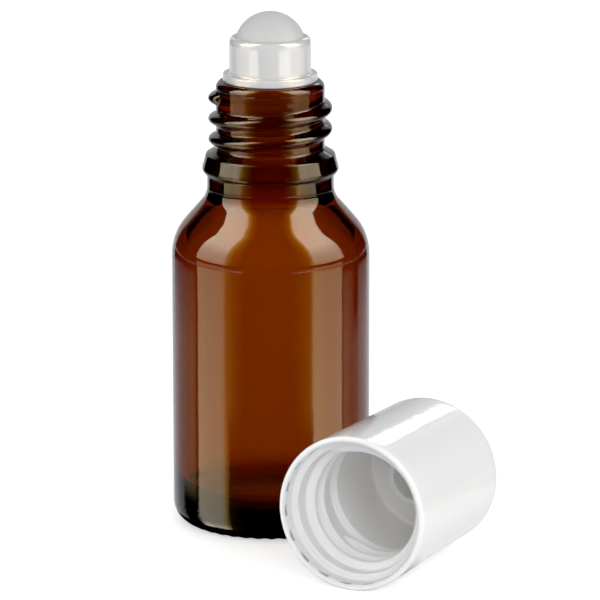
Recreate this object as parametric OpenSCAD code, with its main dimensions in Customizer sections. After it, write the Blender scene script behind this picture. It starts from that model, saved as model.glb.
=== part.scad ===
// Roll-on bottle: amber glass bottle, press-in roller insert, ball and a screw cap lying beside it.
// The origin is the centre of the standing ring, with Z up along the bottle's axis. Millimetres.

/* [Glass body] */
// Outer diameter of the body
body_d = 28.5; // [26:0.5:40]
// Height of the glass from the standing ring to the lip
bottle_h = 65; // [60:1:120]
// Thickness of the body wall
glass_t = 1.9; // [1.4:0.1:2.4]
// Thickness of the glass in the middle of the base, above the hollow under it
base_t = 3.2; // [2.5:0.1:5]
// Outer rounding between the body and the base
heel_r = 3; // [2:0.25:4]
// Inner rounding between the wall and the floor
inner_heel_r = 3.6; // [2:0.2:5]
// Height of the hollow under the base
push_up_h = 0.9; // [0.4:0.1:1.5]
// Width of the flat ring that the bottle stands on
ring_w = 1.6; // [1:0.1:2.5]

/* [Shoulder] */
// Radius of the outward curve at the top of the body
shoulder_r = 7.5; // [6:0.25:9]
// Radius of the inward curve below the neck
throat_r = 3.5; // [2.5:0.25:4.5]
// Slope of the shoulder, measured from the vertical
shoulder_slope = 41; // [36:1:48]
// How much larger the inward curve's radius is inside the glass
throat_extra = 0.9; // [0.4:0.1:1.4]

/* [Neck finish] */
// Diameter of the smooth bore that takes the insert
bore_d = 11.2; // [10.8:0.1:11.4]
// Diameter of the glass between the thread's turns
core_d = 15.6; // [15.2:0.1:16]
// Diameter over the thread's crests
thread_d = 17.8; // [17.4:0.1:18.2]
// Rise of the thread in one turn
thread_pitch = 3; // [2.8:0.1:3.2]
// Turns of the thread, its two ends included
thread_turns = 2.3; // [1.5:0.1:2.5]
// Width of the thread at its foot
thread_w = 2; // [1.6:0.1:2.1]
// Depth of the thread's upper end below the lip
thread_drop = 2.34; // [2.2:0.02:2.8]
// Direction of the thread's upper end, seen from above
thread_end_turn = 202; // [0:1:359]
// Diameter of the transfer bead at its lower edge
bead_d = 20; // [19.4:0.1:20.4]
// Diameter of the transfer bead at its upper edge
bead_top_d = 18.6; // [18.2:0.1:19]
// Depth of the bead's foot on the core below the lip
bead_drop = 9.8; // [9.6:0.1:11]
// Height of the sloping face on top of the bead
bead_slope_h = 0.9; // [0.5:0.1:1.2]
// Height of the bead from its lower edge to its upper edge
bead_h = 2.7; // [2.2:0.1:3]
// Rounding of the bead's lower edge
bead_r = 0.65; // [0.4:0.05:0.8]
// Diameter of the neck below the bead
neck_d = 18.2; // [17.8:0.1:18.4]
// Length of the neck below the bead
neck_len = 1.9; // [1.5:0.1:4]
// Rounding of the lip's outer edge
lip_r = 1; // [0.5:0.1:1.2]
// Rounding of the bore's upper edge
mouth_r = 0.4; // [0.2:0.05:0.5]

/* [Roller insert] */
// Diameter of the flange that rests on the lip
flange_d = 13.6; // [13:0.1:13.8]
// Thickness of the flange
flange_h = 1.1; // [0.8:0.1:1.4]
// Rounding of the flange's edges, and of the corner between it and the housing
flange_r = 0.2; // [0.1:0.05:0.3]
// Outer diameter of the housing round the ball
housing_d = 11.7; // [11.6:0.1:12.4]
// Height of the housing above the flange
housing_h = 5.3; // [4.8:0.1:5.8]
// Rounding of the housing's upper edge
housing_r = 0.75; // [0.5:0.05:0.8]
// Length of the plug inside the neck
plug_len = 8.2; // [6.8:0.2:8.6]
// Wall of the plug
plug_t = 0.9; // [0.7:0.1:1.2]
// Height of each sealing rib on the plug
rib_h = 1.1; // [0.8:0.1:1.4]
// How far the plug's wall lies inside its ribs
rib_proud = 0.25; // [0.15:0.05:0.35]
// Distance between the middles of the plug's ribs
rib_step = 2.6; // [2:0.1:2.8]
// Number of ribs on the plug
rib_count = 3; // [2:1:3]
// Diameter of the hole that feeds the ball
feed_d = 6; // [4:0.2:7]
// Thickness of the wall between the plug and the ball's cup
web_t = 1.2; // [1:0.1:1.8]
// Radial room between the plug's ribs and the bore
plug_gap = 0.04; // [0.02:0.01:0.08]

/* [Roller ball] */
// Diameter of the ball
ball_d = 10.3; // [10:0.05:10.4]
// How far the ball stands above the housing
ball_proud = 3.55; // [3.2:0.05:3.9]
// Running clearance all round the ball
ball_gap = 0.06; // [0.04:0.01:0.09]

/* [Screw cap] */
// Outer diameter of the cap at its rim
cap_d = 22; // [21.6:0.1:23]
// Outer diameter of the cap at its closed end
cap_top_d = 21.3; // [20.8:0.1:21.6]
// Height of the cap
cap_h = 27; // [26:0.5:30]
// Thickness of the closed end
cap_end_t = 1.5; // [1:0.1:2]
// Rounding of the closed end's edge
cap_edge_r = 0.9; // [0.5:0.1:1.4]
// Rounding of the rim's edges
rim_r = 0.35; // [0.2:0.05:0.4]
// Depth of the recess that goes over the bead
recess_h = 2.3; // [2:0.1:3]
// Room between the recess and the bead
recess_gap = 0.12; // [0.08:0.02:0.2]
// Height left between the bead and the recess when the cap is closed
closed_gap = 0.2; // [0.1:0.05:0.4]
// Room between the cap's threads and the glass
cap_thread_gap = 0.26; // [0.2:0.02:0.3]
// Turns of the cap's thread, its two ends included
cap_thread_turns = 2.7; // [1.5:0.1:2.9]
// Width of the cap's thread at its foot
cap_thread_w = 1.5; // [1.2:0.1:1.6]
// Direction of the cap thread's first end, seen into the rim
cap_thread_turn = 150; // [0:1:359]
// Diameter of the smooth bore beyond the thread
cap_bore_d = 16.8; // [16.4:0.1:17]
// Number of ratchet notches round the rim
notch_count = 18; // [12:1:24]
// Depth of each notch into the rim's wall
notch_t = 0.32; // [0.2:0.02:0.4]
// Length of each notch round the rim
notch_len = 1.9; // [1.2:0.1:2.4]
// Height of each notch
notch_h = 0.9; // [0.6:0.1:1.4]
// Outer diameter of the ring that presses on the ball
seal_d = 7.8; // [7:0.1:8.4]
// Wall of the ring that presses on the ball
seal_t = 0.9; // [0.7:0.1:1.2]
// Room between that ring and the ball when the cap is closed
seal_gap = 0.05; // [0.05:0.05:0.3]

/* [Place of the cap] */
// Direction in which the closed end points, anticlockwise from the right
cap_turn = 64; // [40:1:75]
// Room between the cap's widest outline and the bottle, seen from above
cap_clear = 0.64; // [0.6:0.02:20]
// Distance from the rim to the point of the cap's axis that is nearest the bottle
cap_reach = 28.1; // [20:0.1:60]

/* [Hidden] */
$fn = 96;
arc_steps = 8;
fine_steps = 4;
ridge_steps = 6;
rings_per_turn = 36;
overrun = 1;

glass_colour = [0.42, 0.16, 0.03];
insert_colour = [0.93, 0.93, 0.92];
ball_colour = [0.78, 0.78, 0.78];
cap_colour = [0.96, 0.96, 0.96];

// Shares of a thread's length over which its first and its last end swell to full height
glass_end_shares = [0.1, 0.02];
cap_end_shares = [0.03, 0.03];
// Least height of a thread, at its very ends
blunt_share = 0.1;
// Power of the cosine that rounds a thread's crest: below 1 is fuller
crest_power = 0.75;

// Heights on the glass, worked down from the lip
bead_foot_z = bottle_h - bead_drop;
bead_top_z = bead_foot_z - bead_slope_h;
bead_low_z = bead_top_z - bead_h;
throat_z = bead_low_z - neck_len;
thread_rise = (thread_d - core_d) / 2;
bead_side = atan((bead_d - bead_top_d) / 2 / bead_h);

// Height that the straight slope of a shoulder takes up, and the whole shoulder
function slope_len(low, high, r1, r2) =
    (low - high - (r1 + r2) * (1 - cos(shoulder_slope))) / sin(shoulder_slope);
function shoulder_h(low, high, r1, r2) =
    (r1 + r2) * sin(shoulder_slope) + slope_len(low, high, r1, r2) * cos(shoulder_slope);

// Base and body of the glass
body_top_z = throat_z - shoulder_h(body_d / 2, neck_d / 2, shoulder_r, throat_r);
inner_body_r = body_d / 2 - glass_t;
floor_z = push_up_h + base_t;
ring_in_r = body_d / 2 - heel_r - ring_w;
dome_r = (ring_in_r * ring_in_r + push_up_h * push_up_h) / (2 * push_up_h);

// Radii and heights on the insert, worked up from the lip
plug_r = bore_d / 2 - plug_gap;
plug_wall_r = plug_r - rib_proud;
plug_low_z = bottle_h - plug_len;
flange_top_z = bottle_h + flange_h;
housing_top_z = flange_top_z + housing_h;
ball_z = housing_top_z + ball_proud - ball_d / 2;
cup_r = ball_d / 2 + ball_gap;
web_low_z = ball_z - sqrt(cup_r * cup_r - feed_d * feed_d / 4) - web_t;

// Sizes inside the cap, worked out from the neck and the ball that it goes over
cap_root_r = thread_d / 2 + cap_thread_gap;
cap_crest_r = core_d / 2 + cap_thread_gap;
recess_r = bead_d / 2 + recess_gap;
cap_floor_h = cap_h - cap_end_t;
closed_rim_z = bead_foot_z + closed_gap - recess_h;
seal_in_r = seal_d / 2 - seal_t;
seal_low_h = ball_z + sqrt(ball_d * ball_d / 4 - seal_in_r * seal_in_r) + seal_gap - closed_rim_z;
cap_thread_low_h = recess_h + cap_thread_w / 2 + recess_gap;
cap_thread_top_h = cap_thread_low_h + cap_thread_turns * thread_pitch + cap_thread_w;
taper = atan((cap_d - cap_top_d) / 2 / (cap_h - rim_r - cap_edge_r));
lying_h = cap_d / 2 * cos(taper) + rim_r * sin(taper);
cap_lag = max(cap_reach - cap_h, 0);
cap_side = cap_d / 2 + sqrt(max(pow(body_d / 2 + cap_clear, 2) - cap_lag * cap_lag, 0));

// Points along an arc about [x, z], from angle a to angle b
function arc(x, z, r, a, b, steps = arc_steps) =
    [for (i = [0 : steps]) let (t = a + (b - a) * i / steps) [x + r * cos(t), z + r * sin(t)]];

// Points from the body at radius low up to the neck at radius high, through two curves
function shoulder(low, high, z, r1, r2) = concat(
    arc(low - r1, z, r1, 0, shoulder_slope),
    arc(high + r2, z + shoulder_h(low, high, r1, r2), r2, 180 + shoulder_slope, 180)
);

// Sealing rib round the plug, as four points about the height z
function rib(z) = [
    [plug_wall_r, z - rib_h / 2],
    [plug_r, z - rib_h / 4],
    [plug_r, z + rib_h / 4],
    [plug_wall_r, z + rib_h / 2]
];

// Shallow dome under the base, from the axis out to the standing ring
dome = [for (i = [0 : arc_steps]) let (r = ring_in_r * i / arc_steps)
    [r, push_up_h - dome_r + sqrt(dome_r * dome_r - r * r)]];

bead = concat(
    [[neck_d / 2, bead_low_z]],
    arc(bead_d / 2 - bead_r, bead_low_z + bead_r, bead_r, -90, bead_side, fine_steps),
    [[bead_top_d / 2, bead_top_z]],
    [[core_d / 2, bead_foot_z]]
);

glass_outside = concat(
    dome,
    arc(body_d / 2 - heel_r, heel_r, heel_r, -90, 0),
    shoulder(body_d / 2, neck_d / 2, body_top_z, shoulder_r, throat_r),
    bead,
    arc(core_d / 2 - lip_r, bottle_h - lip_r, lip_r, 0, 90, fine_steps)
);

glass_inside = concat(
    [[0, floor_z]],
    arc(inner_body_r - inner_heel_r, floor_z + inner_heel_r, inner_heel_r, -90, 0),
    shoulder(inner_body_r, bore_d / 2, body_top_z, shoulder_r - glass_t, throat_r + throat_extra),
    arc(bore_d / 2 + mouth_r, bottle_h - mouth_r, mouth_r, 180, 90, fine_steps)
);

// Rounded ridge of a thread, as [way out, way up] across its width
ridge_shares = [for (i = [0 : ridge_steps]) let (u = 2 * i / ridge_steps - 1)
    [pow(cos(90 * u), crest_power), u]];

// Height of a thread that swells as a quarter circle, done of the way from its end to full height
function swell(done) = max(sqrt(1 - pow(max(1 - done, 0), 2)), blunt_share);

// Helical ridge that rises from radius foot to radius crest, and is sunk by depth into its wall
module thread(foot, crest, depth, width, turns, end_shares) {
    side = sign(crest - foot);
    rings = ceil(turns * rings_per_turn);
    feet = [[0, 1], [0, -1]];
    per = ridge_steps + 1 + len(feet);
    points = [for (k = [0 : rings]) let (
            share = k / rings,
            full = min(swell(share / end_shares[0]), swell((1 - share) / end_shares[1])),
            turn = 360 * turns * share,
            up = thread_pitch * turns * share
        ) each concat(
            [for (p = ridge_shares) let (
                    r = foot + (crest - foot) * p[0] * full - side * depth * (1 - p[0]) / 2
                ) [r * cos(turn), r * sin(turn), up + width / 2 * p[1] * full]],
            [for (p = feet) let (
                    r = foot - side * depth
                ) [r * cos(turn), r * sin(turn), up + width / 2 * p[1] * full]]
        )];
    walls = [for (k = [0 : rings - 1]) for (j = [0 : per - 1]) let (
            a = k * per + j,
            b = k * per + (j + 1) % per
        ) each [[a, b, a + per], [b, b + per, a + per]]];
    ends = concat(
        [for (j = [1 : per - 2]) [0, j + 1, j]],
        [for (j = [1 : per - 2]) [rings * per, rings * per + j, rings * per + j + 1]]
    );
    faces = concat(walls, ends);
    polyhedron(points, side < 0 ? [for (f = faces) [f[0], f[2], f[1]]] : faces);
}

module glass_bottle() color(glass_colour) {
    inside_down = [for (i = [len(glass_inside) - 1 : -1 : 0]) glass_inside[i]];
    rotate_extrude() polygon(concat(glass_outside, inside_down));
    translate([0, 0, bottle_h - thread_drop - thread_pitch * thread_turns])
        rotate([0, 0, thread_end_turn - 360 * thread_turns])
            thread(core_d / 2, thread_d / 2, thread_rise / 2, thread_w, thread_turns, glass_end_shares);
}

module roller_insert() color(insert_colour) difference() {
    rotate_extrude() polygon(concat(
        [[0, plug_low_z], [plug_wall_r, plug_low_z]],
        [for (i = [0 : rib_count - 1]) each rib(plug_low_z + rib_h + rib_step * i)],
        [[plug_wall_r, bottle_h]],
        arc(flange_d / 2 - flange_r, bottle_h + flange_r, flange_r, -90, 0, fine_steps),
        arc(flange_d / 2 - flange_r, flange_top_z - flange_r, flange_r, 0, 90, fine_steps),
        arc(housing_d / 2 + flange_r, flange_top_z + flange_r, flange_r, 270, 180, fine_steps),
        arc(housing_d / 2 - housing_r, housing_top_z - housing_r, housing_r, 0, 90, fine_steps),
        [[0, housing_top_z]]
    ));
    translate([0, 0, ball_z]) sphere(cup_r);
    translate([0, 0, web_low_z - overrun]) cylinder(h = ball_z - web_low_z, d = feed_d);
    translate([0, 0, plug_low_z - overrun])
        cylinder(h = web_low_z - plug_low_z + overrun, r = plug_wall_r - plug_t);
}

module roller_ball() color(ball_colour) translate([0, 0, ball_z]) sphere(d = ball_d);

module cap_notches() {
    for (i = [0 : notch_count - 1]) rotate([0, 0, 360 * i / notch_count])
        translate([0, 0, -overrun]) linear_extrude(height = notch_h + overrun) polygon([
            [recess_r - recess_gap, 0],
            [recess_r + notch_t, 0],
            [recess_r - recess_gap, notch_len]
        ]);
}

module cap_shell() difference() {
    rotate_extrude() polygon(concat(
        [[recess_r + rim_r, 0]],
        arc(cap_d / 2 - rim_r, rim_r, rim_r, -90, 0, fine_steps),
        arc(cap_top_d / 2 - cap_edge_r, cap_h - cap_edge_r, cap_edge_r, 0, 90, fine_steps),
        [[0, cap_h], [0, cap_floor_h]],
        [[cap_bore_d / 2, cap_floor_h]],
        [[cap_bore_d / 2, cap_thread_top_h + cap_root_r - cap_bore_d / 2]],
        [[cap_root_r, cap_thread_top_h]],
        [[cap_root_r, recess_h + recess_gap]],
        [[recess_r, recess_h], [recess_r, rim_r]]
    ));
    cap_notches();
}

module seal_ring() difference() {
    translate([0, 0, seal_low_h]) cylinder(h = cap_h - cap_end_t / 2 - seal_low_h, d = seal_d);
    translate([0, 0, seal_low_h - overrun])
        cylinder(h = cap_floor_h - seal_low_h + overrun, r = seal_in_r);
}

module cap_thread()
    translate([0, 0, cap_thread_low_h])
        rotate([0, 0, cap_thread_turn])
            thread(cap_root_r, cap_crest_r, thread_rise / 4, cap_thread_w, cap_thread_turns, cap_end_shares);

module screw_cap() color(cap_colour)
    rotate([0, 0, cap_turn])
        translate([-cap_reach, -cap_side, lying_h])
            rotate([0, 90 + taper, 0]) {
                cap_shell();
                seal_ring();
                cap_thread();
            }

glass_bottle();
roller_insert();
roller_ball();
screw_cap();
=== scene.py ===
import math

import bpy
import numpy as np
from mathutils import Matrix, Vector

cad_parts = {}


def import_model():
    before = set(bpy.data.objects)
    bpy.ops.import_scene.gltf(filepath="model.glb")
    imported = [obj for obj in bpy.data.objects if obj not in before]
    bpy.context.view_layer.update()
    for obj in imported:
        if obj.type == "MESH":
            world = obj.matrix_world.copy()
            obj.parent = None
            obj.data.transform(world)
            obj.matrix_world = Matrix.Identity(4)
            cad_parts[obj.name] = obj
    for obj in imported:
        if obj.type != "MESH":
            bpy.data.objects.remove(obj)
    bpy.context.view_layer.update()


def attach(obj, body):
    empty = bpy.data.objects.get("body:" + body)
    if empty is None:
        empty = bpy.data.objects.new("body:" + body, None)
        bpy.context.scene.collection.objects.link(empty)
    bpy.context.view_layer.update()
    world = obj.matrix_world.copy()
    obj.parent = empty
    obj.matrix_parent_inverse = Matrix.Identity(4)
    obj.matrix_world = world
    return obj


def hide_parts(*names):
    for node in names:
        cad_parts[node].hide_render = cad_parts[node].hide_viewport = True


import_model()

MM = 0.001
TURN = 2 * math.pi

# Glass, in millimetres
BODY_R = 14.25
BOTTLE_H = 65.0
GLASS_T = 1.9
BASE_T = 3.2
HEEL_R = 3.0
INNER_HEEL_R = 3.6
PUSH_UP_H = 0.9
RING_W = 1.6
RING_EDGE_R = 0.3
GROOVE_COUNT = 40
GROOVE_H = 0.14
GROOVE_TOP_Z = 0.55
GROOVE_FADE_H = 0.4
SHOULDER_R = 7.5
THROAT_R = 3.5
THROAT_EXTRA = 0.9
SHOULDER_SLOPE = math.radians(41)
BORE_R = 5.6
CORE_R = 7.8
THREAD_R = 8.9
THREAD_PITCH = 3.0
THREAD_TURNS = 2.3
THREAD_W = 2.0
THREAD_DROP = 2.34
THREAD_END_TURN = math.radians(202)
THREAD_END_SHARES = (0.1, 0.02)
THREAD_FILLET = 0.44
CREST_POWER = 2.2
BEAD_R = 10.0
BEAD_TOP_R = 9.3
BEAD_FOOT_Z = 55.2
BEAD_TOP_Z = 54.3
BEAD_LOW_Z = 51.6
BEAD_EDGE_R = 0.65
BEAD_TOP_EDGE_R = 0.3
BEAD_FOOT_R = 0.5
BEAD_UNDER_R = 0.35
NECK_R = 9.1
THROAT_Z = 49.7
LIP_R = 1.0
MOUTH_R = 0.4
MOUTH_H = 2.0

# Insert and ball
FLANGE_R = 6.8
FLANGE_H = 1.1
FLANGE_EDGE_R = 0.2
LIP_GAP = 0.01
HOUSING_R = 5.85
HOUSING_H = 5.3
HOUSING_EDGE_R = 0.75
HOUSING_FOOT_R = 0.2
PLUG_R = 5.56
PLUG_WALL_R = 5.31
PLUG_LOW_Z = 56.8
PLUG_EDGE_R = 0.25
PLUG_T = 0.9
RIB_COUNT = 3
RIB_H = 1.1
RIB_STEP = 2.6
RIB_EDGE_R = 0.12
PLUG_FILLET_R = 0.1
FEED_R = 3.0
FEED_EDGE_R = 0.2
WEB_LOW_Z = 64.34
WEB_FOOT_R = 0.3
BALL_R = 5.15
BALL_Z = 69.8
CUP_R = 5.21

# Cap, measured from its rim towards its closed end
CAP_R = 11.0
CAP_TOP_R = 10.65
CAP_H = 27.0
CAP_END_T = 1.5
CAP_EDGE_R = 0.9
RIM_R = 0.35
RIM_INNER_R = 0.95 * RIM_R
RECESS_R = 10.12
RECESS_H = 2.3
RECESS_EDGE_R = 0.12
CAP_ROOT_R = 9.16
CAP_ROOT_EDGE_R = 0.3
CAP_CREST_R = 8.06
CAP_THREAD_LOW_H = 3.17
CAP_THREAD_TOP_H = 12.77
CAP_THREAD_W = 1.5
CAP_THREAD_TURNS = 2.7
CAP_THREAD_TURN = math.radians(150)
CAP_THREAD_END_SHARES = (0.03, 0.03)
CAP_THREAD_FILLET = 0.4
CAP_BORE_R = 8.4
CAP_BORE_EDGE_R = 0.2
CAP_END_FILLET_R = 0.5
NOTCH_COUNT = 18
NOTCH_CUT = 0.48
NOTCH_LEN = 1.9
NOTCH_STEEP_LEN = 0.12
NOTCH_LOW_H = 0.15
NOTCH_H = 0.9
NOTCH_LOW_FADE_H = 0.08
NOTCH_TOP_FADE_H = 0.1
SEAL_R = 3.9
SEAL_T = 0.9
SEAL_LOW_H = 20.94
SEAL_FOOT_R = 0.25
SEAL_EDGE_R = 0.2
CAP_TURN = math.radians(64)
CAP_REACH = 28.1
CAP_CLEAR = 0.64

# Columns of points round each piece, and the spacing of its rows in millimetres
BOTTLE_COLUMNS = 360
INSERT_COLUMNS = 192
BALL_COLUMNS = 192
CAP_COLUMNS = 22 * NOTCH_COUNT
THREAD_ROWS = 0.14
RING_ROWS = 0.16
BOTTLE_WALL_ROWS = 2.0
INSERT_ROWS = 0.4
NOTCH_ROWS = 0.08
CAP_INNER_ROWS = 1.2
CAP_OUTER_ROWS = 1.5


# ---------------------------------------------------------------- outlines and skins

def rounded(corners, step=math.radians(9)):
    """Outline through (radius, height, rounding) corners, of which the first and the last are sharp.

    A corner with a rounding r becomes an arc of radius r that touches both of its sides: it starts
    r * tan(bend / 2) before the corner, and its points are a step of angle apart at most.
    """
    out = []
    for i, (x, z, r) in enumerate(corners):
        here = np.array([x, z], float)
        if r == 0:
            out.append(here[None])
            continue
        before = np.array(corners[i - 1][:2], float) - here
        after = np.array(corners[i + 1][:2], float) - here
        before /= np.linalg.norm(before)
        after /= np.linalg.norm(after)
        half = math.acos(np.clip(before @ after, -1, 1)) / 2
        middle = (before + after) / np.linalg.norm(before + after)
        centre = here + middle * (r / math.sin(half))
        sweep = math.pi / 2 - half
        side = np.array([-middle[1], middle[0]])
        side *= np.sign(side @ before) or 1
        turns = np.linspace(-sweep, sweep, max(3, int(math.ceil(2 * sweep / step)) + 1))[:, None]
        out.append(centre - r * (middle * np.cos(turns) + side * np.sin(turns)))
    return np.concatenate(out)


def filled(outline, spacing):
    """Outline with points added on its long sides, so that no two are further apart than spacing(height)."""
    parts = []
    for a, b in zip(outline[:-1], outline[1:]):
        gap = float(np.hypot(*(b - a)))
        count = max(1, int(math.ceil(gap / spacing(0.5 * (a[1] + b[1])) - 1e-6)))
        parts.append(a + (b - a) * (np.arange(count) / count)[:, None])
    parts.append(outline[-1:])
    return np.concatenate(parts)


def lathed(radius, height, columns):
    """Points (radius cos t, radius sin t, height), with a row for each point of the outline.

    Radius and height are grids with one column, or with one for each angle t.
    """
    t = np.arange(columns) * TURN / columns
    return np.stack([radius * np.cos(t), radius * np.sin(t), height + 0 * t], -1)


def skin(name, points, loop=False):
    """Mesh object over a grid of points in millimetres, whose columns run round the axis.

    Its first and last rows close in a pole each, or meet each other where loop is set.
    """
    rows, columns = points.shape[:2]
    if loop:
        verts = points.reshape(-1, 3)
        first = np.arange(rows)
    else:
        verts = np.concatenate([points[:1, 0], points[1:-1].reshape(-1, 3), points[-1:, 0]])
        first = np.arange(rows - 3)
    start = 0 if loop else 1
    i, j = np.meshgrid(first, np.arange(columns), indexing="ij")
    k = (j + 1) % columns
    up = (i + 1) % rows
    quads = np.stack([i * columns + j, i * columns + k, up * columns + k, up * columns + j], -1)
    faces = [start + quads.reshape(-1, 4)]
    if not loop:
        j = np.arange(columns)
        k = (j + 1) % columns
        last = len(verts) - 1
        low = last - columns
        faces.append(np.stack([np.zeros(columns, int), 1 + k, 1 + j], -1))
        faces.append(np.stack([low + j, low + k, np.full(columns, last)], -1))
    sizes = np.concatenate([np.full(len(f), f.shape[1]) for f in faces])
    corners = np.concatenate([f.ravel() for f in faces])
    mesh = bpy.data.meshes.new(name)
    mesh.vertices.add(len(verts))
    mesh.vertices.foreach_set("co", (verts * MM).ravel())
    mesh.loops.add(len(corners))
    mesh.loops.foreach_set("vertex_index", corners)
    mesh.polygons.add(len(sizes))
    mesh.polygons.foreach_set("loop_start", np.concatenate([[0], np.cumsum(sizes)[:-1]]))
    mesh.polygons.foreach_set("use_smooth", np.ones(len(sizes), bool))
    mesh.update(calc_edges=True)
    mesh.validate()
    piece = bpy.data.objects.new(name, mesh)
    bpy.context.scene.collection.objects.link(piece)
    return piece


def mark(piece, name, value):
    """Writes a value for each point of a skin with poles, given on the skin's own grid."""
    attribute = piece.data.attributes.new(name, "FLOAT", "POINT")
    attribute.data.foreach_set("value", np.concatenate([value[:1, 0], value[1:-1].ravel(), value[-1:, 0]]))


def dress(piece, material, node, body):
    """Gives a piece its material and lets it stand for its node."""
    piece.data.materials.append(material)
    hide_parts(node)
    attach(piece, body)


# ---------------------------------------------------------------- threads

def soft_max(a, b, blend):
    """Larger of two heights, with a hollow fillet where they are less than blend apart."""
    share = np.clip(1 - np.abs(a - b) / blend, 0, 1)
    return np.maximum(a, b) + blend * share ** 2 / 4


def ridge(height, t, low, start, turns, width, end_shares):
    """Height of a helical ridge over its foot, as a share of its full height.

    Across its width it is full - |u| ** CREST_POWER, where u runs from -1 to 1, and full rises at
    each end as a quarter circle over its share of the ridge's length. Off the ridge it is below zero.
    """
    off = -8.0
    best = np.full(np.broadcast(height, t).shape, off)
    for lap in range(int(math.ceil(turns)) + 1):
        along = (t - start) % TURN + TURN * lap
        share = along / (TURN * turns)
        near = np.minimum(share / end_shares[0], (1 - share) / end_shares[1])
        full = np.where(near > 0, np.sqrt(1 - (1 - np.clip(near, 0, 1)) ** 2), -off * near)
        u = (height - low - THREAD_PITCH * along / TURN) / (0.5 * width)
        best = np.maximum(best, full - np.abs(u) ** CREST_POWER)
    return best


# ---------------------------------------------------------------- pieces

def glass_bottle():
    """Bottle as one closed skin: base, outer wall, neck finish, lip, bore and inner wall.

    It is a turned outline, with a base hollowed by a part of a sphere. In the neck the radius is the
    larger of the outline's and that of the thread's ridge. Under the standing ring and up the heel
    the height is raised by a cosine wave round the axis, which makes radial grooves.
    """
    half = math.tan(SHOULDER_SLOPE / 2)
    neck_corner = THROAT_Z - THROAT_R * half
    body_corner = neck_corner - (BODY_R - NECK_R) / math.tan(SHOULDER_SLOPE)
    ring_in = BODY_R - HEEL_R - RING_W
    r = np.linspace(0, ring_in, 12)
    hollow_r = (ring_in ** 2 + PUSH_UP_H ** 2) / (2 * PUSH_UP_H)
    hollow = np.stack([r, PUSH_UP_H - hollow_r + np.sqrt(hollow_r ** 2 - r ** 2)], 1)[:-1]
    outer = rounded([
        (ring_in - 0.3, 0.055, 0),
        (ring_in, 0, RING_EDGE_R),
        (BODY_R, 0, HEEL_R),
        (BODY_R, body_corner, SHOULDER_R),
        (NECK_R, neck_corner, THROAT_R),
        (NECK_R, BEAD_LOW_Z, BEAD_UNDER_R),
        (BEAD_R, BEAD_LOW_Z, BEAD_EDGE_R),
        (BEAD_TOP_R, BEAD_TOP_Z, BEAD_TOP_EDGE_R),
        (CORE_R, BEAD_FOOT_Z, BEAD_FOOT_R),
        (CORE_R, BOTTLE_H, LIP_R),
        (BORE_R, BOTTLE_H, MOUTH_R),
        (BORE_R, BOTTLE_H - MOUTH_H, 0),
    ])
    inner_r = BODY_R - GLASS_T
    inner_corner = body_corner - GLASS_T * half
    inner_fall = (inner_r - BORE_R) / math.tan(SHOULDER_SLOPE)
    floor_z = PUSH_UP_H + BASE_T
    inner = rounded([
        (BORE_R, BOTTLE_H - MOUTH_H, 0),
        (BORE_R, inner_corner + inner_fall, THROAT_R + THROAT_EXTRA),
        (inner_r, inner_corner, SHOULDER_R - GLASS_T),
        (inner_r, floor_z, INNER_HEEL_R),
        (0, floor_z, 0),
    ])[1:]

    def spacing(z):
        if BEAD_LOW_Z < z < BOTTLE_H - LIP_R:
            return THREAD_ROWS
        return RING_ROWS if z < 0.01 else BOTTLE_WALL_ROWS

    outer = filled(np.concatenate([hollow, outer]), spacing)
    inner = filled(inner, lambda z: BOTTLE_WALL_ROWS)
    outline = np.concatenate([outer, inner])
    outside = (np.arange(len(outline)) < len(outer))[:, None]
    radius, height = outline[:, :1], outline[:, 1:]
    t = np.arange(BOTTLE_COLUMNS)[None] * TURN / BOTTLE_COLUMNS
    rise = ridge(height, t, BOTTLE_H - THREAD_DROP - THREAD_PITCH * THREAD_TURNS,
                 THREAD_END_TURN - TURN * THREAD_TURNS, THREAD_TURNS, THREAD_W, THREAD_END_SHARES)
    threaded = soft_max(radius, CORE_R + (THREAD_R - CORE_R) * rise, THREAD_FILLET)
    neck = outside & (radius > CORE_R - 0.01) & (height > BEAD_TOP_Z) & (height < BOTTLE_H - LIP_R - 0.05)
    full_radius = np.where(neck, threaded, radius + 0 * t)
    off_middle = np.abs(radius - (ring_in + RING_W / 2)) / (RING_W / 2)
    on_ring = np.sqrt(np.clip(1 - off_middle, 0, 1)) * (height < 0.02)
    on_heel = np.clip((GROOVE_TOP_Z - height) / GROOVE_FADE_H, 0, 1) * (radius > ring_in + RING_W)
    grooves = GROOVE_H * np.maximum(on_ring, on_heel) * (0.5 - 0.5 * np.cos(GROOVE_COUNT * t)) * outside
    return skin("glass_bottle_shown", lathed(full_radius, height + grooves, BOTTLE_COLUMNS))


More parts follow.
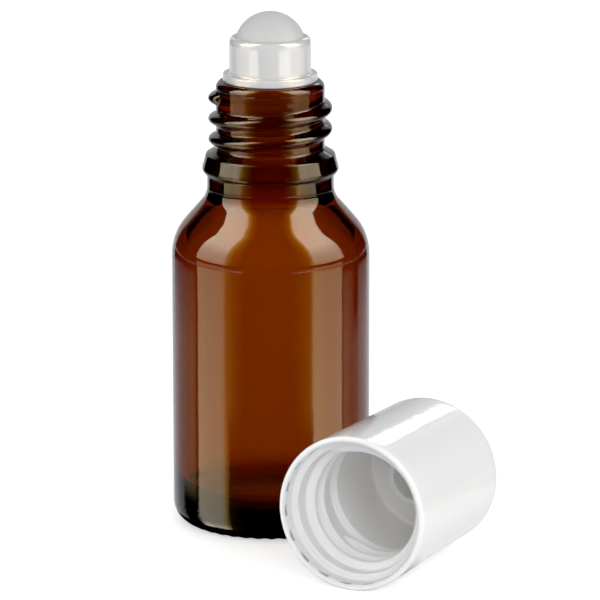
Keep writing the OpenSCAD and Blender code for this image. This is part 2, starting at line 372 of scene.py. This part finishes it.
def roller_insert():
    """Insert as one turned ring: ribbed plug, flange, housing, lip over the ball, cup and feed hole.

    The cup is an arc of radius CUP_R about the ball's centre, from the lip down to the feed hole.
    """
    ribs = []
    for i in range(RIB_COUNT):
        z = PLUG_LOW_Z + RIB_H + RIB_STEP * i
        ribs += [
            (PLUG_WALL_R, z - RIB_H / 2, PLUG_FILLET_R),
            (PLUG_R, z - RIB_H / 4, RIB_EDGE_R),
            (PLUG_R, z + RIB_H / 4, RIB_EDGE_R),
            (PLUG_WALL_R, z + RIB_H / 2, PLUG_FILLET_R),
        ]
    flange_z = BOTTLE_H + FLANGE_H
    top_z = flange_z + HOUSING_H
    mouth = math.sqrt(CUP_R ** 2 - (top_z - BALL_Z) ** 2)
    feed_z = BALL_Z - math.sqrt(CUP_R ** 2 - FEED_R ** 2)
    a = np.linspace(math.atan2(top_z - BALL_Z, mouth), math.atan2(feed_z - BALL_Z, FEED_R), 30)[1:-1]
    cup = np.stack([CUP_R * np.cos(a), BALL_Z + CUP_R * np.sin(a)], 1)
    bore = PLUG_WALL_R - PLUG_T
    outer = rounded([(bore, PLUG_LOW_Z, 0), (PLUG_WALL_R, PLUG_LOW_Z, PLUG_EDGE_R)] + ribs + [
        (PLUG_WALL_R, BOTTLE_H + LIP_GAP, PLUG_FILLET_R),
        (FLANGE_R, BOTTLE_H + LIP_GAP, FLANGE_EDGE_R),
        (FLANGE_R, flange_z, FLANGE_EDGE_R),
        (HOUSING_R, flange_z, HOUSING_FOOT_R),
        (HOUSING_R, top_z, HOUSING_EDGE_R),
        (mouth, top_z, 0),
    ])
    inner = rounded([
        (FEED_R, feed_z, 0),
        (FEED_R, WEB_LOW_Z, FEED_EDGE_R),
        (bore, WEB_LOW_Z, WEB_FOOT_R),
        (bore, PLUG_LOW_Z, 0),
    ])[:-1]
    outline = filled(np.concatenate([outer, cup, inner, outer[:1]]), lambda z: INSERT_ROWS)[:-1]
    return skin("roller_insert_shown", lathed(outline[:, :1], outline[:, 1:], INSERT_COLUMNS), loop=True)


def roller_ball():
    """Ball: a sphere turned about its level axis, whose poles lie hidden in the cup's sides."""
    latitude = np.linspace(-math.pi / 2, math.pi / 2, 97)[:, None]
    points = lathed(BALL_R * np.cos(latitude), BALL_R * np.sin(latitude), BALL_COLUMNS)[..., [2, 0, 1]]
    return skin("roller_ball_shown", points + np.array([0, 0, BALL_Z]))


def screw_cap():
    """Cap as one closed skin, worked out upright on its rim and then laid down where the CAD's cap lies.

    The thread stands inwards from its root. A notch is a saw tooth: it is deepest at its steep
    side, and runs out evenly over its length. Two marks tell the material where the inner side and
    the notches are, which it greys and darkens with painted shade. Glossy rays don't meet the cap,
    because the photographed glass doesn't mirror it.
    """
    slope = (CAP_R - CAP_TOP_R) / (CAP_H - RIM_R - CAP_EDGE_R)
    inner_end = CAP_H - CAP_END_T
    rim_flat_r = RECESS_R + RIM_R
    outer = rounded([
        (0, CAP_H, 0),
        (CAP_R - slope * (CAP_H - RIM_R), CAP_H, CAP_EDGE_R),
        (CAP_R + slope * RIM_R, 0, RIM_R),
        (rim_flat_r, 0, 0),
    ])
    inner = rounded([
        (rim_flat_r, 0, 0),
        (RECESS_R, 0, RIM_INNER_R),
        (RECESS_R, RECESS_H, RECESS_EDGE_R),
        (CAP_ROOT_R, RECESS_H, CAP_ROOT_EDGE_R),
        (CAP_ROOT_R, CAP_THREAD_TOP_H, CAP_BORE_EDGE_R),
        (CAP_BORE_R, CAP_THREAD_TOP_H + CAP_ROOT_R - CAP_BORE_R, CAP_BORE_EDGE_R),
        (CAP_BORE_R, inner_end, CAP_END_FILLET_R),
        (SEAL_R, inner_end, SEAL_FOOT_R),
        (SEAL_R, SEAL_LOW_H, SEAL_EDGE_R),
        (SEAL_R - SEAL_T, SEAL_LOW_H, SEAL_EDGE_R),
        (SEAL_R - SEAL_T, inner_end, SEAL_FOOT_R),
        (0, inner_end, 0),
    ], step=math.radians(12))

    def spacing(z):
        if z < NOTCH_H + 0.1:
            return NOTCH_ROWS
        return THREAD_ROWS if z < CAP_THREAD_TOP_H + 0.8 else CAP_INNER_ROWS

    outer = filled(outer, lambda z: CAP_OUTER_ROWS)
    inner = filled(inner, spacing)[1:]
    outline = np.concatenate([outer, inner])
    radius, height = outline[:, :1], outline[:, 1:]
    inside = (np.arange(len(outline)) >= len(outer))[:, None]
    t = np.arange(CAP_COLUMNS)[None] * TURN / CAP_COLUMNS
    rise = ridge(height, t, CAP_THREAD_LOW_H, CAP_THREAD_TURN, CAP_THREAD_TURNS, CAP_THREAD_W,
                 CAP_THREAD_END_SHARES)
    crest = CAP_ROOT_R - (CAP_ROOT_R - CAP_CREST_R) * rise
    threaded = -soft_max(-radius, -crest, CAP_THREAD_FILLET)
    in_thread = inside & (height > RECESS_H + 0.05) & (height < CAP_THREAD_TOP_H + 0.6)
    full_radius = np.where(in_thread, threaded, radius + 0 * t)
    along = (t % (TURN / NOTCH_COUNT)) * RECESS_R
    tooth = np.clip(1 - along / NOTCH_LEN, 0, 1) * np.clip(along / NOTCH_STEEP_LEN, 0, 1)
    fade = (np.clip((NOTCH_H - height) / NOTCH_TOP_FADE_H, 0, 1)
            * np.clip((height - NOTCH_LOW_H) / NOTCH_LOW_FADE_H, 0, 1))
    notch = np.where(inside & (radius < rim_flat_r), tooth * fade, 0)
    points = lathed(full_radius + NOTCH_CUT * notch, height, CAP_COLUMNS)
    tilt = math.atan(slope)
    lying = CAP_R * math.cos(tilt) + RIM_R * math.sin(tilt)
    lag = max(CAP_REACH - CAP_H, 0)
    side = CAP_R + math.sqrt((BODY_R + CAP_CLEAR) ** 2 - lag ** 2)
    turned = Matrix.Rotation(CAP_TURN, 3, "Z")
    laid = turned @ Matrix.Rotation(math.pi / 2 + tilt, 3, "Y")
    place = turned @ Vector((-CAP_REACH, -side, lying))
    piece = skin("screw_cap_shown", (points @ np.array(laid).T + np.array(place))[::-1])
    # The inner_side mark makes the inside rougher, and greys it with painted shade
    mark(piece, "inner_side", (inside + 0.0 * t)[::-1])
    # The notch mark tells the material where to darken the notches with painted shade
    mark(piece, "notch", np.clip(2 * notch, 0, 1)[::-1])
    piece.visible_glossy = False
    return piece


# ---------------------------------------------------------------- finishes

GLASS_IOR = 1.52
GLASS_TINT = (0.7855, 0.545, 0.0)
GLASS_DENSITY = 2200.0
PLASTIC_IOR = 1.5
# How far light soaks into the white plastics, in metres and alike in every colour
SOAK = {"Subsurface Radius": (1, 1, 1), "Subsurface Scale": 0.0006}
# Painted shade that greys the cap's inner side, which is the same plastic as the outside
INNER_SIDE_PAINTED_SHADE = (0.81, 0.82, 0.84)
INNER_SIDE_ROUGHNESS = 0.6
# Painted shade in the cap's notches, darker than the plastic's own colour
NOTCH_PAINTED_SHADE = (0.28, 0.28, 0.28)


def feed(tree, socket, value):
    """Links a socket to another, or sets its value or colour."""
    if isinstance(value, bpy.types.NodeSocket):
        tree.links.new(value, socket)
    elif isinstance(value, tuple) and socket.type == "RGBA":
        socket.default_value = (*value, 1)
    else:
        socket.default_value = value


def node(tree, kind, **values):
    """Adds a node and feeds its inputs by name."""
    made = tree.nodes.new(kind)
    for key, value in values.items():
        feed(tree, made.inputs[key], value)
    return made


def calculated(tree, operation, a, b):
    """Output of a Math node over two values."""
    made = tree.nodes.new("ShaderNodeMath")
    made.operation = operation
    feed(tree, made.inputs[0], a)
    feed(tree, made.inputs[1], b)
    return made.outputs[0]


def mixed(tree, share, a, b):
    """Colour that goes from a to b as share goes from 0 to 1."""
    made = tree.nodes.new("ShaderNodeMix")
    made.data_type = "RGBA"
    share_at, a_at, b_at, result_at = 0, 6, 7, 2
    feed(tree, made.inputs[share_at], share)
    feed(tree, made.inputs[a_at], a)
    feed(tree, made.inputs[b_at], b)
    return made.outputs[result_at]


def moulded_surface():
    """Node group: fine unevenness of a moulded surface.

    Height is a slow swell of Size millimetres plus Grain Share of a grain of a tenth of that size.
    Tone is a soft mask from 0 to 1 for the colour, three times as wide as the swell.
    """
    group = bpy.data.node_groups.new("moulded_surface", "ShaderNodeTree")
    for name, default in (("Size", 1.0), ("Grain Share", 0.2)):
        socket = group.interface.new_socket(name, in_out="INPUT", socket_type="NodeSocketFloat")
        socket.default_value = default
    for name in ("Height", "Tone"):
        group.interface.new_socket(name, in_out="OUTPUT", socket_type="NodeSocketFloat")
    start = group.nodes.new("NodeGroupInput")
    end = group.nodes.new("NodeGroupOutput")
    place = group.nodes.new("ShaderNodeTexCoord").outputs["Object"]
    swell_scale = calculated(group, "DIVIDE", 1 / MM, start.outputs["Size"])
    grain_scale = calculated(group, "MULTIPLY", swell_scale, 10.0)
    tone_scale = calculated(group, "MULTIPLY", swell_scale, 0.3)
    swell = node(group, "ShaderNodeTexNoise", Vector=place, Scale=swell_scale, Detail=1.0)
    grain = node(group, "ShaderNodeTexNoise", Vector=place, Scale=grain_scale, Detail=2.0)
    tone = node(group, "ShaderNodeTexNoise", Vector=place, Scale=tone_scale, Detail=2.0)
    part = calculated(group, "MULTIPLY", grain.outputs["Fac"], start.outputs["Grain Share"])
    feed(group, end.inputs["Height"], calculated(group, "ADD", swell.outputs["Fac"], part))
    feed(group, end.inputs["Tone"], tone.outputs["Fac"])
    return group


def finish(name, surface, size, grain_share, depth, light, dark, rough, values):
    """Material of one moulded finish: a colour between light and dark by the group's tone, a
    roughness between the two of rough, and a bump that is depth metres deep."""
    material = bpy.data.materials.new(name)
    material.use_nodes = True
    tree = material.node_tree
    shader = tree.nodes["Principled BSDF"]
    detail = tree.nodes.new("ShaderNodeGroup")
    detail.node_tree = surface
    detail.inputs["Size"].default_value = size
    detail.inputs["Grain Share"].default_value = grain_share
    tone = detail.outputs["Tone"]
    rougher = node(tree, "ShaderNodeMapRange", Value=tone)
    rougher.inputs["To Min"].default_value, rougher.inputs["To Max"].default_value = rough
    bump = node(tree, "ShaderNodeBump", Height=detail.outputs["Height"], Strength=1.0, Distance=depth)
    feed(tree, shader.inputs["Base Color"], mixed(tree, tone, dark, light))
    feed(tree, shader.inputs["Roughness"], rougher.outputs[0])
    feed(tree, shader.inputs["Normal"], bump.outputs[0])
    for key, value in values.items():
        shader.inputs[key].default_value = value
    return material


def amber_glass(surface):
    """Clear polished glass, coloured by absorption over the distance that light goes through it."""
    glass = finish("amber_glass", surface, size=3.0, grain_share=0.0, depth=0.000018,
                   light=(1, 1, 1), dark=(0.97, 0.97, 0.97), rough=(0.0, 0.02),
                   values={"Transmission Weight": 1.0, "IOR": GLASS_IOR})
    tree = glass.node_tree
    depth = tree.nodes.new("ShaderNodeVolumeAbsorption")
    depth.inputs["Color"].default_value = (*GLASS_TINT, 1)
    depth.inputs["Density"].default_value = GLASS_DENSITY
    out = next(n for n in tree.nodes if n.type == "OUTPUT_MATERIAL")
    tree.links.new(depth.outputs[0], out.inputs["Volume"])
    return glass


def insert_plastic(surface):
    """Natural white plastic under a glossy skin, a little translucent."""
    return finish("insert_plastic", surface, size=1.2, grain_share=0.15, depth=0.000003,
                  light=(0.72, 0.72, 0.72), dark=(0.69, 0.69, 0.69), rough=(0.08, 0.12), values={
                      "IOR": PLASTIC_IOR, "Coat Weight": 1.0, "Coat Roughness": 0.05, "Coat IOR": 1.8,
                      "Subsurface Weight": 0.25, **SOAK})


def ball_plastic(surface):
    """Smooth matte light grey."""
    return finish("ball_plastic", surface, size=1.5, grain_share=0.6, depth=0.000006,
                  light=(0.62, 0.625, 0.628), dark=(0.58, 0.585, 0.588), rough=(0.5, 0.6),
                  values={"IOR": PLASTIC_IOR, "Specular IOR Level": 0.2})


def cap_plastic(surface):
    """Glossy white outside; duller inside, where painted shade greys it; and painted shade darkening the
    notches, by the cap's two marks.
    """
    cap = finish("cap_plastic", surface, size=2.6, grain_share=0.04, depth=0.000028,
                 light=(0.975, 0.975, 0.975), dark=(0.96, 0.96, 0.96), rough=(0.04, 0.06), values={
                     "IOR": PLASTIC_IOR, "Specular IOR Level": 0.35, "Subsurface Weight": 0.3, **SOAK})
    tree = cap.node_tree
    shader = tree.nodes["Principled BSDF"]
    marks = []
    for name in ("inner_side", "notch"):
        marked = tree.nodes.new("ShaderNodeAttribute")
        marked.attribute_name = name
        marks.append(marked.outputs["Fac"])
    inner_side, notch = marks
    rough = shader.inputs["Roughness"].links[0].from_socket
    dull = calculated(tree, "MULTIPLY", inner_side, INNER_SIDE_ROUGHNESS)
    feed(tree, shader.inputs["Roughness"], calculated(tree, "MAXIMUM", rough, dull))
    colour = shader.inputs["Base Color"].links[0].from_socket
    # Painted shade: the inner side is greyed in the base colour
    colour = mixed(tree, inner_side, colour, INNER_SIDE_PAINTED_SHADE)
    # Painted shade: the notches are darkened in the base colour
    feed(tree, shader.inputs["Base Color"], mixed(tree, notch, colour, NOTCH_PAINTED_SHADE))
    return cap


# ---------------------------------------------------------------- room and lamps

def is_seen(tree):
    """Value of 1 for the rays that show the background: those of the camera, of gloss and through glass."""
    path = tree.nodes.new("ShaderNodeLightPath")
    either = calculated(tree, "ADD", path.outputs["Is Camera Ray"], path.outputs["Is Glossy Ray"])
    total = calculated(tree, "ADD", either, path.outputs["Is Transmission Ray"])
    total.node.use_clamp = True
    return total


def world(level):
    """White behind everything, and a plain level of light from all sides."""
    made = bpy.data.worlds.new("studio")
    bpy.context.scene.world = made
    made.use_nodes = True
    tree = made.node_tree
    back = tree.nodes["Background"]
    back.inputs["Color"].default_value = (1, 1, 1, 1)
    strength = node(tree, "ShaderNodeMapRange", Value=is_seen(tree))
    strength.inputs["To Min"].default_value = level
    strength.inputs["To Max"].default_value = 1.0
    tree.links.new(strength.outputs[0], back.inputs["Strength"])


def floor(albedo, shown):
    """Pale floor that shows white, and darker in the object's shadow.

    A glow for the rays that show the background lifts it to white. Glossy rays don't meet it,
    because the mirrored table lies in its place.
    """
    mesh = bpy.data.meshes.new("floor")
    half = 6.0
    corners = [(-half, -half, 0), (half, -half, 0), (half, half, 0), (-half, half, 0)]
    mesh.from_pydata(corners, [], [(0, 1, 2, 3)])
    sheet = bpy.data.objects.new("floor", mesh)
    bpy.context.scene.collection.objects.link(sheet)
    material = bpy.data.materials.new("pale_floor")
    material.use_nodes = True
    tree = material.node_tree
    shader = tree.nodes["Principled BSDF"]
    shader.inputs["Base Color"].default_value = (albedo, albedo, albedo, 1)
    shader.inputs["Roughness"].default_value = 1.0
    shader.inputs["Specular IOR Level"].default_value = 0.0
    shader.inputs["Emission Color"].default_value = (1, 1, 1, 1)
    feed(tree, shader.inputs["Emission Strength"], calculated(tree, "MULTIPLY", is_seen(tree), shown))
    mesh.materials.append(material)
    sheet.visible_glossy = False


def lamp(name, azimuth, distance, height, width, tall, radiance, elevation=0.0):
    """Soft box at an azimuth from the camera's side, positive to the right, that faces the bottle.

    It lights matte surfaces alone. What gloss and glass show of the studio is made further down.
    """
    data = bpy.data.lights.new(name, "AREA")
    data.shape = "RECTANGLE"
    data.size, data.size_y = width, tall
    data.energy = radiance * math.pi * width * tall
    box = bpy.data.objects.new(name, data)
    a, e = math.radians(azimuth), math.radians(elevation)
    way = Vector((math.sin(a) * math.cos(e), -math.cos(a) * math.cos(e), math.sin(e)))
    box.location = way * distance + Vector((0, 0, height))
    box.rotation_mode = "QUATERNION"
    box.rotation_quaternion = way.to_track_quat("Z", "Y")
    box.visible_camera = False
    box.visible_transmission = False
    box.visible_glossy = False
    bpy.context.scene.collection.objects.link(box)


# ---------------------------------------------------------------- what gloss and glass see of the studio

def glow_sheet(name, points, colours, rays):
    """Sheet over a grid of points in metres that shines with the colour given at each point.

    It is seen by the given kind of ray alone, and neither lights nor shades anything.
    """
    rows, columns = points.shape[:2]
    i, j = np.meshgrid(np.arange(rows - 1), np.arange(columns - 1), indexing="ij")
    faces = (i * columns + j)[..., None] + np.array([0, 1, columns + 1, columns])
    mesh = bpy.data.meshes.new(name)
    mesh.from_pydata(points.reshape(-1, 3).tolist(), [], faces.reshape(-1, 4).tolist())
    glow = mesh.color_attributes.new("glow", "FLOAT_COLOR", "POINT")
    glow.data.foreach_set("color", np.concatenate([colours, np.ones((rows, columns, 1))], -1).ravel())
    sheet = bpy.data.objects.new(name, mesh)
    bpy.context.scene.collection.objects.link(sheet)
    material = bpy.data.materials.new(name)
    material.use_nodes = True
    material.cycles.emission_sampling = "NONE"
    tree = material.node_tree
    tree.nodes.clear()
    colour = tree.nodes.new("ShaderNodeAttribute")
    colour.attribute_name = "glow"
    shine = node(tree, "ShaderNodeEmission", Color=colour.outputs["Color"], Strength=1.0)
    out = tree.nodes.new("ShaderNodeOutputMaterial")
    tree.links.new(shine.outputs[0], out.inputs["Surface"])
    mesh.materials.append(material)
    for kind in ("camera", "diffuse", "glossy", "transmission", "volume_scatter", "shadow"):
        setattr(sheet, "visible_" + kind, kind == rays)


def step_up(value, low, high):
    """0 below low and 1 above high, with a smooth rise between them."""
    share = np.clip((value - low) / (high - low), 0, 1)
    return share * share * (3 - 2 * share)


def step_down(value, low, high):
    """1 below low and 0 above high, with a smooth fall between them."""
    return 1 - step_up(value, low, high)


def between(value, edges):
    """1 between the two middle edges and 0 outside the outer ones, with smooth sides."""
    return step_up(value, *edges[:2]) * step_down(value, *edges[2:])


def along_stops(value, stops):
    """Colour at each value, drawn in straight lines between (value, red, green, blue) stops."""
    stops = np.array(stops, float)
    return np.stack([np.interp(value, stops[:, 0], stops[:, i]) for i in (1, 2, 3)], -1)


def all_round(columns):
    """Azimuths from behind by the left to behind again, in degrees, as one row."""
    return np.linspace(-180, 180, columns)[None]


def dome(radius, azimuth, elevation):
    """Points on a sphere about the origin, for rows of elevation and columns of azimuth in degrees."""
    a, e = np.radians(azimuth), np.radians(elevation)
    return radius * np.stack([np.cos(e) * np.sin(a), -np.cos(e) * np.cos(a), np.sin(e) + 0 * a], -1)


# What the bottle mirrors, by the direction in degrees from the camera's side, positive to the right:
# a dark room in front, a tall soft box with an amber fringe on either side, and a white wall behind.
TABLE_STOPS = (
    (-180, 0.6, 0.6, 0.6), (-173, 0.6, 0.6, 0.6), (-170, 0.9, 0.9, 0.92), (-150, 0.75, 0.75, 0.77),
    (-130, 0.5, 0.5, 0.5), (-118, 0.6, 0.52, 0.36), (-102, 0.75, 0.6, 0.26), (-98, 0.2, 0.1, 0.0),
    (-96, 0.2, 0.1, 0.0), (-94, 1.0, 1.0, 1.0), (-62, 1.0, 1.0, 1.0), (-57, 0.95, 0.83, 0.6),
    (-54, 0.6, 0.4, 0.1), (-44, 0.2, 0.13, 0.0), (-32, 0.0, 0.0, 0.0), (26, 0.0, 0.0, 0.0),
    (38, 0.15, 0.12, 0.0), (44, 0.34, 0.23, 0.0), (48, 0.5, 0.4, 0.1), (51, 1.15, 1.15, 1.0),
    (56, 1.2, 1.2, 1.1), (74, 1.0, 1.0, 1.0), (90, 0.95, 0.95, 1.0), (93, 0.3, 0.3, 0.3),
    (96, 0.9, 0.8, 0.5), (110, 0.5, 0.35, 0.2), (114, 0.0, 0.0, 0.0), (121, 0.0, 0.0, 0.0),
    (125, 0.7, 0.65, 0.58), (150, 0.8, 0.8, 0.82), (170, 0.9, 0.9, 0.92), (173, 0.6, 0.6, 0.6),
    (180, 0.6, 0.6, 0.6))
SKY_STOPS = (
    (-180, 0.15, 0.17, 0.21), (-173, 0.15, 0.17, 0.21), (-170, 0.26, 0.28, 0.35), (-152, 0.26, 0.28, 0.35),
    (-146, 0.0, 0.0, 0.0), (-97, 0.0, 0.0, 0.0), (-95, 1.0, 1.0, 1.0), (-59, 1.0, 1.0, 1.0),
    (-56, 0.95, 0.85, 0.8), (-53, 0.55, 0.42, 0.1), (-46, 0.2, 0.13, 0.0), (-34, 0.0, 0.0, 0.0),
    (32, 0.0, 0.0, 0.0), (44, 0.2, 0.13, 0.0), (49, 0.55, 0.42, 0.1), (52, 1.1, 1.05, 1.0),
    (60, 1.05, 1.05, 1.0), (92, 1.0, 1.0, 1.0), (95, 0.0, 0.0, 0.0), (146, 0.0, 0.0, 0.0),
    (152, 0.26, 0.28, 0.35), (170, 0.26, 0.28, 0.35), (173, 0.15, 0.17, 0.21), (180, 0.15, 0.17, 0.21))
# The table's far part, which only the insert mirrors, and the table beside the cap.
FAR_STOPS = (
    (-180, 0.8, 0.8, 0.8), (-140, 0.7, 0.7, 0.7), (-120, 0.2, 0.2, 0.2), (-100, 0.8, 0.75, 0.65),
    (-64, 0.9, 0.85, 0.7), (-57, 2.0, 1.9, 1.7), (-38, 2.0, 1.9, 1.7), (-30, 0.0, 0.0, 0.0),
    (20, 0.0, 0.0, 0.0), (30, 2.0, 1.9, 1.7), (54, 2.0, 1.9, 1.7), (62, 0.9, 0.85, 0.7),
    (100, 0.8, 0.75, 0.65), (120, 0.2, 0.2, 0.2), (140, 0.7, 0.7, 0.7), (180, 0.8, 0.8, 0.8))
CAP_SIDE_STOPS = ((-180, 0.6, 0.6, 0.6), (30, 0.0, 0.0, 0.0), (42, 0.9, 0.9, 0.9), (180, 0.9, 0.9, 0.9))
# The boxes' colour by the distance in millimetres from the bottle's wall, and by the elevation.
BOX_REACH = (
    (0.6, 0.0, 0.0, 0.0), (1.0, 5.0, 4.8, 4.0), (4, 2.8, 2.65, 2.1), (37, 3.6, 2.9, 1.7),
    (160, 2.6, 2.2, 1.2), (262, 2.7, 2.0, 1.0), (312, 1.6, 0.9, 0.3), (900, 2.5, 2.0, 1.2))
BOX_ELEVATION = (
    (3.4, 3.6, 2.9, 1.8), (20, 4.5, 4.0, 3.0), (40, 8.0, 7.2, 5.4), (60, 8.0, 6.7, 4.6), (74, 4.0, 2.6, 1.4))
WALL_COLOUR = np.array([2.6, 2.4, 1.9])
GAP_COLOUR = np.array([0.5, 0.4, 0.3])
# Middle and half width of each box in the table, in degrees.
LEFT_BOX = (-63, 32)
RIGHT_BOX = (58.5, 33)
# Place of the mirrored table, just under the floor, and radii of the sky and the hood, in metres.
TABLE_Z = -0.0005
SKY_R = 1.25
HOOD_R = 1.3
# Edges of the table's far part, in millimetres from the wall.
FAR_EDGES = (311, 317, 374, 386)
# Small lamp high up behind to the right, which makes the bright stripe along the cap: its level, and
# its edges in degrees.
STRIPE_LEVEL = 2.2
STRIPE_AZIMUTHS = (157, 158, 170, 171)
STRIPE_ELEVATIONS = (22, 22.8, 28.6, 29.4)
# Rows of the table, in millimetres from the bottle's wall, closer where its level changes fast.
TABLE_ROWS = np.concatenate([
    [-14.249, -2, 0.1, 0.6, 1.0, 1.8, 2.6, 4, 6, 9], np.linspace(12, 60, 25), np.linspace(64, 308, 62),
    [312, 316], np.linspace(322, 372, 6), [376, 384, 900]])[:, None]


def mirrored_direction(radius, azimuth):
    """Direction in which the bottle's straight wall mirrors a point of the table, from the camera's side.

    The wall's point at angle h sends the ray to direction 2h, so BODY_R sin h = radius sin(2h - azimuth).
    """
    half = azimuth / 2
    for _ in range(30):  # each round brings h closer, and thirty settle it
        half = (azimuth + np.arcsin(np.clip(BODY_R * np.sin(half) / radius, -1, 1))) / 2
    return np.degrees(np.clip(2 * half, -math.pi, math.pi))


def mirrored_table():
    """Table that only glossy rays see: a disc whose colour goes by the direction that the wall mirrors.

    In the boxes' directions it is multiplied by their colour at that distance from the wall, and
    their amber fringe is weak near the wall. In the others it starts some way from the wall and fades
    out further off, except straight behind. A weak light fills the gap between the right-hand box and
    the wall behind, and the far part and the part beside the cap are laid over the rest.
    """
    azimuth = all_round(361)
    a = np.radians(azimuth)
    reach = TABLE_ROWS
    radius = BODY_R + reach
    toward = mirrored_direction(radius, a)
    away = np.abs(toward)
    in_box = (np.abs(toward - LEFT_BOX[0]) < LEFT_BOX[1]) | (np.abs(toward - RIGHT_BOX[0]) < RIGHT_BOX[1])
    start = np.where(away > 125, step_up(reach, 0.6, 1.8), step_up(reach, 14, 26))
    fade = np.where(away > 150, 1, 0.5 * step_down(reach, 100, 165) + 0.5 * step_down(reach, 165, 205))
    fringe = np.where(away < 51, 0.08 + 0.92 * step_up(reach, 45, 85), 1)
    boxes = along_stops(reach, BOX_REACH) * fringe[..., None]
    colour = along_stops(toward, TABLE_STOPS) * np.where(in_box[..., None], boxes, (start * fade)[..., None])
    gap_light = np.interp(toward, (110, 114, 121, 125), (0, 1, 1, 0)) * start * step_down(reach, 105, 130)
    colour += gap_light[..., None] * GAP_COLOUR
    far = between(reach, FAR_EDGES)[..., None]
    colour = colour * (1 - far) + along_stops(azimuth, FAR_STOPS) * far
    by_cap = ((azimuth > 28) * step_down(azimuth, 130, 170) * step_down(reach, 42, 50))[..., None]
    colour = colour * (1 - by_cap) + along_stops(azimuth, CAP_SIDE_STOPS) * by_cap
    flat = np.stack([MM * radius * np.sin(a), -MM * radius * np.cos(a), TABLE_Z + 0 * radius * a], -1)
    glow_sheet("studio_table", flat, colour, "glossy")


def mirrored_sky():
    """Boxes in front and wall behind that only glossy rays see, as a part of a sphere over the table.

    The level is the boxes' colour at that elevation in front and the wall's behind, each up to its
    own upper edge, times the colour for the azimuth.
    """
    azimuth = all_round(361)
    elevation = np.concatenate([[-12, 3.2], np.linspace(3.6, 90, 120)])[:, None]
    behind = np.abs(azimuth) > 120
    top = np.where(behind, step_down(elevation, 24, 40), step_down(elevation, 72, 78))
    low = np.where(behind, 1.0, elevation > 3.4)
    level = np.where(behind[..., None], WALL_COLOUR, along_stops(elevation, BOX_ELEVATION))
    stripe = STRIPE_LEVEL * between(azimuth, STRIPE_AZIMUTHS) * between(elevation, STRIPE_ELEVATIONS)
    colour = along_stops(azimuth, SKY_STOPS) * level * (top * low)[..., None] + stripe[..., None]
    glow_sheet("studio_sky", dome(SKY_R, azimuth, elevation), colour, "glossy")


def dark_hood(low, front, side, back):
    """Upper part of the room as it is seen through the glass, from elevation low up to straight above.

    It is bright in front, where it lights the white plug through the neck, dark at the sides, and
    lighter again straight behind.
    """
    azimuth = all_round(73)
    elevation = np.linspace(low, 90, 24)[:, None]
    away = np.abs(azimuth)
    level = side + (front - side) * step_down(away, 80, 110) + (back - side) * step_up(away, 150, 165)
    level = np.repeat((level + 0 * elevation)[..., None], 3, -1)
    glow_sheet("studio_hood", dome(HOOD_R, azimuth, elevation), level, "transmission")


# ---------------------------------------------------------------- camera and scene

def camera():
    """Camera at the photograph's place: 0.7 m in front of the bottle and 0.2 m up.

    Its lens is 0.95 times as long as the photograph's, so that the whole cap is in view.
    """
    data = bpy.data.cameras.new("camera")
    data.lens = 299.88
    data.sensor_width = 36.0
    data.clip_start, data.clip_end = 0.01, 20.0
    view = bpy.data.objects.new("camera", data)
    pitch, yaw, roll = 0.2402, 0.0060, -0.00177
    ahead = Vector((math.sin(yaw) * math.cos(pitch), math.cos(yaw) * math.cos(pitch), -math.sin(pitch)))
    right = ahead.cross(Vector((0, 0, 1))).normalized()
    up = right.cross(ahead)
    right, up = (right * math.cos(roll) + up * math.sin(roll), up * math.cos(roll) - right * math.sin(roll))
    turn = Matrix((right, up, -ahead)).transposed()
    place = (0, -0.701564, 0.204419)
    view.matrix_world = Matrix.Translation(place) @ turn.to_4x4()
    bpy.context.scene.collection.objects.link(view)
    bpy.context.scene.camera = view


camera()
surface = moulded_surface()
dress(glass_bottle(), amber_glass(surface), "glass_bottle", "bottle")
dress(roller_insert(), insert_plastic(surface), "roller_insert", "insert")
dress(roller_ball(), ball_plastic(surface), "roller_ball", "ball")
dress(screw_cap(), cap_plastic(surface), "screw_cap", "cap")

world(level=0.33)
floor(albedo=0.8, shown=0.53)
lamp("left_box", azimuth=-80, distance=0.6, height=0.05, width=0.31, tall=1.3, radiance=1.55)
lamp("right_box", azimuth=74, distance=0.6, height=0.05, width=0.36, tall=1.3, radiance=1.75)
lamp("front_fill", azimuth=5, distance=1.0, height=0.0, width=0.7, tall=0.7, radiance=3.4, elevation=22)
lamp("back_fill", azimuth=-165, distance=1.0, height=0.0, width=0.7, tall=0.7, radiance=1.8, elevation=45)
mirrored_table()
mirrored_sky()
dark_hood(low=9, front=2.3, side=0.02, back=1.6)

bpy.context.scene.view_settings.view_transform = "Standard"
